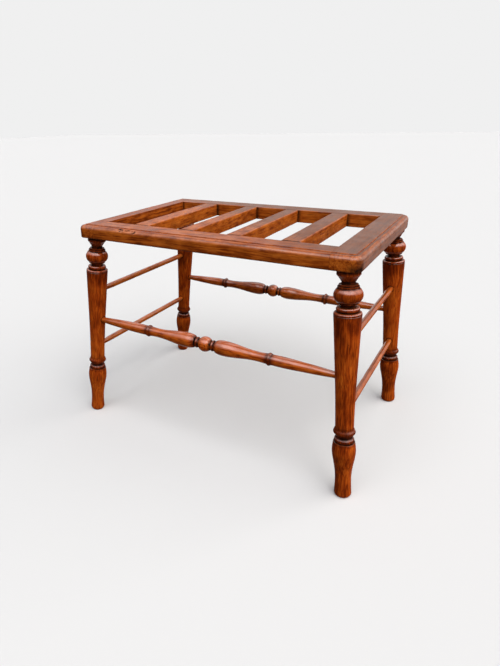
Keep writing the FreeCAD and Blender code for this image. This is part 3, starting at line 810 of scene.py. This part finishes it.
def dowelEnds(sideX, level):   # where a dowel's line meets the axes of the front and back leg
    ends = []
    for sideY, height in zip((-1, 1), dowelShape["heights"][sideX, level]):
        foot, top = legAxis(sideX, sideY)
        ends.append(foot.lerp(top, height * mm / underside))
    return ends


def addDowel(sideX, level, seed):
    node = f"side_dowel_{sideName[sideX]}_{level}"
    front, back = dowelEnds(sideX, level)
    inward = (back - front).normalized() * dowelShape["fromLegAxis"] * mm
    start, end = front + inward, back - inward
    length = (end - start).length / mm
    s = SimpleNamespace(**dowelShape)
    taperEnd = s.endStraight + s.taper
    places = [(s.endRadius, 0), (s.endRadius, s.endStraight), (s.radius, taperEnd),
              (s.radius, length - taperEnd), (s.endRadius, length - s.endStraight),
              (s.endRadius, length), (0, length)]
    outline = turnedOutline((0, 0), [[place] for place in places])
    mesh = turnedPiece(node, outline, alongAxis(start, end), "dowel", seed, dowelShape, [])
    addPiece(node + "_turned", node, mesh, "dowel")


legCorners = [(sideX, sideY) for sideY in (-1, 1) for sideX in (-1, 1)]
for seed, (sideX, sideY) in enumerate(legCorners, firstSeed["legs"]):
    addLeg(sideX, sideY, seed)
for seed, node in enumerate(("front_stretcher", "back_stretcher"), firstSeed["stretchers"]):
    addStretcher(node, seed)
for seed, (sideX, level) in enumerate(dowelShape["heights"], firstSeed["dowels"]):
    addDowel(sideX, level, seed)
print("turned pieces made")


# Slats: one section with rounded arrises, swept along the slat

slatShape = dict(arris=2.0 * mm, arrisSteps=5, faceStep=2.5 * mm, arrisWear=0.45, faceWear=0.1, endGrimeAndShade=0.9,
                 endGrimeAndShadeReach=8.0 * mm, steps=150, unevenness=0.5 * mm, unevennessScale=14.0)


def slatSection(halfWidth, halfThickness, shape):   # a rounded rectangle, and its wear
    points, wear = [], []
    arris, arrisSteps = shape["arris"], shape["arrisSteps"]
    centres = [Vector((signX * (halfWidth - arris), 0, signZ * (halfThickness - arris)))
               for signX, signZ in ((1, 1), (-1, 1), (-1, -1), (1, -1))]
    for index, centre in enumerate(centres):
        for k in range(arrisSteps + 1):
            angle = (index + k / arrisSteps) * pi / 2
            points.append(centre + Vector((cos(angle), 0, sin(angle))) * arris)
            wear.append(shape["arrisWear"])
        face = centres[(index + 1) % 4] - centre
        parts = round(face.length / shape["faceStep"])
        points += [points[-1] + face * k / parts for k in range(1, parts)]
        wear += [shape["faceWear"]] * (parts - 1)
    return points + points[:1], wear + wear[:1]


def addSlat(number, seed):
    node = f"slat_{number}"
    low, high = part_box(node)
    points, wear = slatSection((high[0] - low[0]) / 2, (high[2] - low[2]) / 2, slatShape)
    mesh = runTree(node, lineMesh(node, points, {"wear": wear}), slatTree, {
        "Length": openingBack - openingFront, "Steps": slatShape["steps"], "End Grime And Shade": slatShape["endGrimeAndShade"],
        "End Grime And Shade Reach": slatShape["endGrimeAndShadeReach"], "Unevenness": slatShape["unevenness"],
        "Unevenness Scale": slatShape["unevennessScale"], "Seed": seed, "Finish": woods["slat"]})
    middleX, middleZ = (low[0] + high[0]) / 2, (low[2] + high[2]) / 2
    place = Matrix(((1, 0, 0, middleX), (0, 0, 1, openingFront), (0, 1, 0, middleZ), (0, 0, 0, 1)))
    closeMesh(mesh, place, [])
    addPiece(node + "_planed", node, mesh, "slat")


for seed, number in enumerate((1, 2, 3, 4), firstSeed["slats"]):
    addSlat(number, seed)
print("slats made")


# Rails: level loops round the rail's plan, each drawn in by the moulding's section at that height

railShape = dict(
    cornerRadius=dict(left=11.0 * mm, right=17.0 * mm), leastRadius=1.5 * mm, cornerSteps=10,
    underArris=2.5 * mm, underSteps=4, faceSteps=6, noseRadius=9.0 * mm, noseSteps=10,
    mouldingInset=11.5 * mm, mouldingStep=1.6 * mm, stepFillet=0.2 * mm, stepArris=0.6 * mm, stepRound=0.3,
    openingArris=1.2 * mm, jointEase=0.25 * mm, margin=0.9 * mm, spacing=2.5 * mm, merge=0.02 * mm,
    flatShares=(0.2, 0.4, 0.6, 0.8, 1.0), unevenness=0.25 * mm, waves=((14, 1.0), (41, 0.5)),
    underDirt=0.3, arrisDirt=(0.6, 0.1), shelfDirt=0.06,
    noseWear=0.8, shelfWear=0.2, stepWear=(0.7, 0.8, 0.8), topEdgeWear=(0.5, 0.35), topWear=0.1,
    mouldingReach=1.5 * mm, wearAway=0.4,   # wear and painted highlight keep this share away from the moulding, and grime and painted shade none
)
railDirtAndShade = dict(   # each pair is the darkening at a joint or corner, dirt at the seams and painted shade in the corners, and the length in which a unit of it fades
    seam=(0.25, 3.0 * mm), railJoint=(0.9, 9.0 * mm), slatJoint=(0.95, 9.0 * mm),
    openingCorner=(0.8, 5.0 * mm), outerCorner=(0.9, 14.0 * mm),
    sootRound=(2.1, 12.0 * mm), sootUp=(1.5, 12.0 * mm), sootRight=0.95, sootLeft=0.5,
    onFace=0.5 * mm, besideFace=1.0 * mm, topDepth=2.0 * mm,
    backFaceTone=0.15, leftTopTone=-0.13, endFaceTone=-0.14, greyedFaceFrom=9.0 * mm, greyedFaceReach=8.0 * mm,
)
chips = [   # places from the frame's left end, front and top
    dict(place=(117.2 * mm, 4.5 * mm, 4.5 * mm), radius=5.0 * mm, stretch=1.6, depth=1.4 * mm),
    dict(place=(134.2 * mm, 5.0 * mm, 4.5 * mm), radius=4.0 * mm, stretch=2.2, depth=1.0 * mm),
    dict(place=(151.2 * mm, 4.0 * mm, 6.5 * mm), radius=4.5 * mm, stretch=2.0, depth=1.3 * mm),
    dict(place=(604.2 * mm, 32.0 * mm, 0.0), radius=2.5 * mm, stretch=0.7, depth=0.8 * mm),
]
chipLook = dict(roughScale=330, least=0.1, middle=0.6, swing=1.6, dirtyDepth=0.3 * mm, darkening=0.95)


def railLevels(shape, thickness):   # height, inset of a moulded side, margin, grime with painted shade, and wear with painted highlight, going up
    s = SimpleNamespace(**shape)
    shelf = thickness - s.mouldingStep
    noseFoot = shelf - s.noseRadius
    edge = s.mouldingInset + s.stepArris
    rounding = s.stepArris * s.stepRound
    levels = [(0.0, s.underArris, s.margin, s.underDirt, 0.0)]
    for k in range(s.underSteps + 1):   # the lower arris, darker below
        angle = k / s.underSteps * pi / 2
        darkening = s.arrisDirt[0] - s.arrisDirt[1] * k
        levels.append((s.underArris * (1 - cos(angle)), s.underArris * (1 - sin(angle)), 0.0, darkening, 0.0))
    for k in range(1, s.faceSteps + 1):
        levels.append((s.underArris + (noseFoot - s.underArris) * k / s.faceSteps, 0.0, 0.0, 0.0, 0.0))
    for k in range(1, s.noseSteps + 1):   # the nose: wear along its front, and a painted highlight where it faces about 30 degrees up
        angle = k / s.noseSteps * pi / 2
        wear = s.noseWear * max(0.0, sin(3 * angle))
        levels.append((noseFoot + s.noseRadius * sin(angle), s.noseRadius * (1 - cos(angle)), 0.0, 0.0, wear))
    return levels + [
        (shelf, (s.noseRadius + s.mouldingInset) / 2, 0.0, s.shelfDirt, 0.0),
        (shelf, s.mouldingInset - s.stepFillet, 0.0, 0.0, s.shelfWear),
        # The step's face and arris carry wear and a painted highlight.
        (shelf + s.stepFillet, s.mouldingInset, 0.0, 0.0, s.stepWear[0]),
        (thickness - s.stepArris, s.mouldingInset, 0.0, 0.0, s.stepWear[1]),
        (thickness - rounding, s.mouldingInset + rounding, 0.0, 0.0, s.stepWear[2]),
        (thickness, edge, 0.0, 0.0, s.topEdgeWear[0]),
        (thickness, edge, s.margin, 0.0, s.topEdgeWear[1]),
    ]


def easedInset(height, thickness, radius):   # how far a side with rounded edges stands in at this height
    edge = min(height, thickness - height)
    return radius - sqrt(max(0.0, radius ** 2 - (radius - edge) ** 2)) if edge < radius else 0.0


def planWay(angle):
    return Vector((cos(angle), sin(angle), 0))


def railLoop(bounds, kinds, level, shape, thickness, counts):   # one level, from the front left corner round
    (x0, y0), (x1, y1) = bounds
    height, moulded, margin = level[:3]
    inset = {"moulded": moulded, "eased": easedInset(height, thickness, shape["openingArris"]),
             "joint": easedInset(height, thickness, shape["jointEase"])}
    front, right, back, left = (inset[kind] + margin for kind in kinds)
    corners = [(x0 + left, y0 + front, 1, 1), (x1 - right, y0 + front, -1, 1),
               (x1 - right, y1 - back, -1, -1), (x0 + left, y1 - back, 1, -1)]   # with the way to the inside
    rounded = max(shape["cornerRadius"]["left" if x0 < 0 else "right"] - moulded, shape["leastRadius"])
    radii = [rounded if kinds[index] == kinds[index - 1] == "moulded" else 0.0 for index in range(4)]
    centres = [Vector((x + wayX * radius, y + wayY * radius, height))
               for (x, y, wayX, wayY), radius in zip(corners, radii)]
    loop = []
    for index, (centre, radius, count) in enumerate(zip(centres, radii, counts)):
        start = pi + index * pi / 2
        parts = shape["cornerSteps"]
        angles = [start + k / parts * pi / 2 for k in range(parts + 1)] if radius else [start]
        loop += [centre + planWay(angle) * radius for angle in angles]
        following = (index + 1) % 4
        begin = loop[-1]
        end = centres[following] + planWay(start + pi / 2) * radii[following]
        near = shape["margin"] / (end - begin).length
        loop += [begin.lerp(end, near + (1 - 2 * near) * k / (count - 2)) for k in range(count - 1)]
    return loop


def drawnIn(loop, bounds, share):   # part of a flat top or underside, which closes on the rail's middle line
    (x0, y0), (x1, y1) = bounds
    reach = min(x1 - x0, y1 - y0) / 2
    cores = [Vector((max(x0 + reach, min(x1 - reach, p.x)), max(y0 + reach, min(y1 - reach, p.y)), p.z))
             for p in loop]
    return [p.lerp(core, share) for p, core in zip(loop, cores)]


def nearMoulding(p, bounds, kinds, shape):
    (x0, y0), (x1, y1) = bounds
    gaps = (p.y - y0, x1 - p.x, y1 - p.y, p.x - x0)
    near = min(gap for gap, kind in zip(gaps, kinds) if kind == "moulded")
    return near < shape["mouldingInset"] + shape["mouldingReach"]


def faded(distance, grime, reach):
    return grime - distance / reach


def railMarks(p, slatEdges):   # grime, painted shade and tone at a place on the rails
    d = SimpleNamespace(**railDirtAndShade)
    joint = min(abs(p.x - openingLeft), abs(p.x - openingRight))
    face = min(abs(p.y - openingFront), abs(p.y - openingBack))
    onLongSide = p.y < openingFront + d.besideFace or p.y > openingBack - d.besideFace
    corner = hypot(min(p.x - outerLeft, outerRight - p.x), min(p.y - outerFront, outerBack - p.y))
    # Painted shade at the outer corners: darkest at the corner itself and towards the underside, stronger at
    # the right end.
    low = min(1.0, max(0.0, faded(p.z - underside, *d.sootUp)))
    cornerShade = min(1.0, faded(corner, *d.sootRound)) * low * (d.sootRight if p.x > 0 else d.sootLeft)
    grime = [cornerShade, faded(corner, *d.outerCorner)]
    tone = 0.0
    if onLongSide:
        grime.append(faded(joint, *d.seam))
    # On the inner faces, painted shade darkens the corners by the slats and at the rail joints.
    if face < d.onFace:
        slatGap = min(abs(p.x - edge) for edge in slatEdges)
        grime += [faded(joint, *d.railJoint), faded(slatGap, *d.slatJoint)]
        tone = d.backFaceTone if p.y > 0 else 0.0
    if p.x < openingLeft - d.onFace and p.z > frameTop - d.topDepth:
        tone = d.leftTopTone
    # Painted shade in the opening's corners on the end rails.
    if joint < d.onFace and not onLongSide:
        grime.append(faded(face, *d.openingCorner))
        tone = d.endFaceTone
    return max(grime), tone


def chipDepth(p, chip, offset):   # how deep this chip is here, with a rough floor
    x, y, z = chip["place"]
    away = p - Vector((outerLeft + x, outerFront + y, frameTop - z))
    away.x /= chip["stretch"]
    inside = 1 - (away.length / chip["radius"]) ** 2
    if inside <= 0:
        return 0.0
    rough = chipLook["middle"] + chipLook["swing"] * noise.noise(p * chipLook["roughScale"] + offset)
    return chip["depth"] * inside * max(chipLook["least"], rough)


def ageRail(mesh, grainAlongX, seed):   # hand-planed waves, chips, and grime and painted shade along the joints and corners
    for label, kind in (("grainSpace", "FLOAT_VECTOR"), ("greyedFace", "FLOAT"), ("paleness", "FLOAT")):
        mesh.attributes.new(label, kind, "POINT")
    labels = ("grainSpace", "greyedFace", "paleness", "grime", "wear")   # fetched once all of them are there
    grain, greyedFace, paleness, grime, wear = (mesh.attributes[label].data for label in labels)
    offset = Vector(sweep["grainShift"]) * seed
    slatEdges = [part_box(f"slat_{number}")[side][0] for number in (1, 2, 3, 4) for side in (0, 1)]
    normals = [vertex.normal.copy() for vertex in mesh.vertices]
    for index, (vertex, normal) in enumerate(zip(mesh.vertices, normals)):
        p = vertex.co.copy()
        straight = Vector((p.y, p.z, p.x)) if grainAlongX else Vector((p.x, p.z, p.y))
        grain[index].vector = straight + offset
        darkening, paleness[index].value = railMarks(p, slatEdges)
        grime[index].value = max(grime[index].value, darkening)
        # The right end's outer face gets painted shade and more coat, so that it looks grey.
        atRight = (p.x - outerRight + railDirtAndShade["greyedFaceFrom"]) / railDirtAndShade["greyedFaceReach"]
        greyedFace[index].value = max(0.0, min(1.0, atRight))
        wave = sum(share * noise.noise(p * scale + offset) for scale, share in railShape["waves"])
        vertex.co += normal * wave * railShape["unevenness"]
        for chip in chips:
            depth = chipDepth(p, chip, offset)
            vertex.co -= normal * depth
            if depth > chipLook["dirtyDepth"]:
                grime[index].value = chipLook["darkening"]
            elif depth > 0:
                wear[index].value = 1.0


def addRail(node, finish, bounds, kinds, seed):
    shape = railShape
    (x0, y0), (x1, y1) = bounds
    thickness = frameTop - underside
    counts = [max(4, round(length / shape["spacing"])) for length in (x1 - x0, y1 - y0, x1 - x0, y1 - y0)]
    levels = railLevels(shape, thickness)
    loops = [railLoop(bounds, kinds, level, shape, thickness, counts) for level in levels]
    shares = shape["flatShares"]
    rows = [(drawnIn(loops[0], bounds, share), 0.0, 0.0) for share in reversed(shares)]
    rows += [(loop, level[3], level[4]) for loop, level in zip(loops, levels)]
    rows += [(drawnIn(loops[-1], bounds, share), 0.0, shape["topWear"]) for share in shares]
    size = len(loops[0])
    places = [p + Vector((0, 0, underside)) for loop, _, _ in rows for p in loop]
    faces = []
    for row in range(0, (len(rows) - 1) * size, size):
        for k in range(size):
            following = (k + 1) % size
            faces.append((row + k, row + following, row + size + following, row + size + k))
    mesh = bpy.data.meshes.new(node)
    mesh.from_pydata(places, [], faces)
    grime = mesh.attributes.new("grime", "FLOAT", "POINT")
    wear = mesh.attributes.new("wear", "FLOAT", "POINT")
    marks = [(p, darkened, wornAndHighlight) for loop, darkened, wornAndHighlight in rows for p in loop]
    for index, (p, darkened, wornAndHighlight) in enumerate(marks):
        beside = nearMoulding(p, bounds, kinds, shape)
        grime.data[index].value = darkened if beside else 0.0
        wear.data[index].value = wornAndHighlight if beside else wornAndHighlight * shape["wearAway"]
    work = bmesh.new()
    work.from_mesh(mesh)
    bmesh.ops.remove_doubles(work, verts=work.verts, dist=shape["merge"])
    bmesh.ops.recalc_face_normals(work, faces=work.faces)
    work.to_mesh(mesh)
    work.free()
    mesh.shade_smooth()
    ageRail(mesh, finish == "longRail", seed)
    mesh.set_sharp_from_angle(angle=sweep["sharpAngle"])
    addPiece(node + "_moulded", node, mesh, finish)


rails = [   # node, finish, plan, and its front, right, back and left side
    ("end_rail_left", "endRail", ((outerLeft, outerFront), (openingLeft, outerBack)),
     ("moulded", "joint", "moulded", "moulded")),
    ("end_rail_right", "endRail", ((openingRight, outerFront), (outerRight, outerBack)),
     ("moulded", "moulded", "moulded", "joint")),
    ("front_rail", "longRail", ((openingLeft, outerFront), (openingRight, openingFront)),
     ("moulded", "joint", "eased", "joint")),
    ("back_rail", "longRail", ((openingLeft, openingBack), (openingRight, outerBack)),
     ("eased", "joint", "moulded", "joint")),
]
for seed, (node, finish, bounds, kinds) in enumerate(rails, firstSeed["rails"]):
    addRail(node, finish, bounds, kinds, seed)
print("rails made")


# Floor, background and light, which aren't part of the object

studio = dict(
    background=0.871, floorSize=40.0, floorSeen=0.72, floorBounce=0.10,
    skyTop=(0.26, 0.27, 0.29, 1), skyEdge=(0.06, 0.06, 0.06, 1), skyRise=(0.0, 0.8),
    skyMirrored=2.85, bandFoot=(0.40, 0.60), bandTop=(0.82, 0.98, 1.0, 0.25),   # mirrored by the varnish
)
lamps = [   # where each light comes from, how wide it is in degrees, and its strength
    dict(name="window_right", towards=(0.86, 0.06, 0.50), spread=98, strength=3.15, colour=(1.0, 0.97, 0.92)),
    dict(name="skylight", towards=(0.12, -0.5, 0.86), spread=66, strength=1.9, colour=(0.98, 0.98, 1.0)),
]
lampDistance = 3.0


def grey(level):
    return (level, level, level, 1)


def seenDirectly(make):   # 1 for what the camera sees, straight or in a reflection
    rays = make("ShaderNodeLightPath").outputs
    mirrored = larger(make, rays["Is Glossy Ray"], rays["Is Transmission Ray"])
    return larger(make, rays["Is Camera Ray"], mirrored)


def buildFloor():
    mesh = bpy.data.meshes.new("floor")
    half = studio["floorSize"] / 2
    corners = [(-half, -half, 0), (half, -half, 0), (half, half, 0), (-half, half, 0)]
    mesh.from_pydata(corners, [], [(0, 1, 2, 3)])
    floor = bpy.data.objects.new("floor", mesh)
    scene.collection.objects.link(floor)
    material = bpy.data.materials.new("floor")
    make = emptyTree(material)
    pale, deep = (make("ShaderNodeBsdfDiffuse", {"Color": grey(studio[key])}).outputs[0]
                  for key in ("floorSeen", "floorBounce"))
    mixed = make("ShaderNodeMixShader", {0: seenDirectly(make), 1: deep, 2: pale}).outputs[0]
    make("ShaderNodeOutputMaterial", {"Surface": mixed})
    mesh.materials.append(material)


def buildWorld():
    world = bpy.data.worlds.new("studio")
    scene.world = world
    make = emptyTree(world)
    upwards = separate(make, make("ShaderNodeTexCoord").outputs["Generated"])["Z"]
    sky = mixColour(make, remap(make, upwards, *studio["skyRise"]), studio["skyEdge"], studio["skyTop"])
    light = make("ShaderNodeBackground", {"Color": sky, "Strength": 1.0}).outputs[0]
    mirrored = make("ShaderNodeLightPath").outputs["Is Glossy Ray"]
    skyBand = times(make, remap(make, upwards, *studio["bandFoot"]), remap(make, upwards, *studio["bandTop"]))
    gain = times(make, mirrored, times(make, skyBand, studio["skyMirrored"] - 1.0))
    backdrop = {"Color": grey(studio["background"]), "Strength": plus(make, 1.0, gain)}
    plain = make("ShaderNodeBackground", backdrop).outputs[0]
    mixed = make("ShaderNodeMixShader", {0: seenDirectly(make), 1: light, 2: plain}).outputs[0]
    make("ShaderNodeOutputWorld", {"Surface": mixed})


def addLamp(lamp):
    data = bpy.data.lights.new(lamp["name"], "SUN")
    data.energy = lamp["strength"]
    data.angle = radians(lamp["spread"])
    data.color = lamp["colour"]
    light = bpy.data.objects.new(lamp["name"], data)
    scene.collection.objects.link(light)
    towards = Vector(lamp["towards"]).normalized()
    light.location = towards * lampDistance
    light.rotation_euler = (-towards).to_track_quat("-Z", "Y").to_euler()


# The camera stands where the photograph was taken from: angles in degrees, and pixels of the photograph

view = dict(position=(0.478, -0.9972, 0.6809), yaw=-32.65, pitch=-22.74, roll=-1.48, focalPixels=494.1,
            centreX=188.5, centreY=325.4, imageWidth=500, imageHeight=666, sensor=36.0, nearest=10.0 * mm)


def addCamera():
    data = bpy.data.cameras.new("camera")
    camera = bpy.data.objects.new("camera", data)
    scene.collection.objects.link(camera)
    yaw, pitch, roll = (radians(view[key]) for key in ("yaw", "pitch", "roll"))
    forward = Vector((sin(yaw) * cos(pitch), cos(yaw) * cos(pitch), sin(pitch)))
    level = Vector((cos(yaw), -sin(yaw), 0))
    up = level.cross(forward)
    right = level * cos(roll) + up * sin(roll)
    up = up * cos(roll) - level * sin(roll)
    turn = Matrix((right, up, -forward)).transposed().to_4x4()
    camera.matrix_world = Matrix.Translation(view["position"]) @ turn
    data.sensor_width = view["sensor"]
    data.lens = view["focalPixels"] / view["imageHeight"] * view["sensor"]
    data.shift_x = (view["imageWidth"] / 2 - view["centreX"]) / view["imageHeight"]
    data.shift_y = (view["centreY"] - view["imageHeight"] / 2) / view["imageHeight"]
    data.clip_start = view["nearest"]
    scene.camera = camera


buildFloor()
buildWorld()
for lamp in lamps:
    addLamp(lamp)
addCamera()
print("studio and camera set")
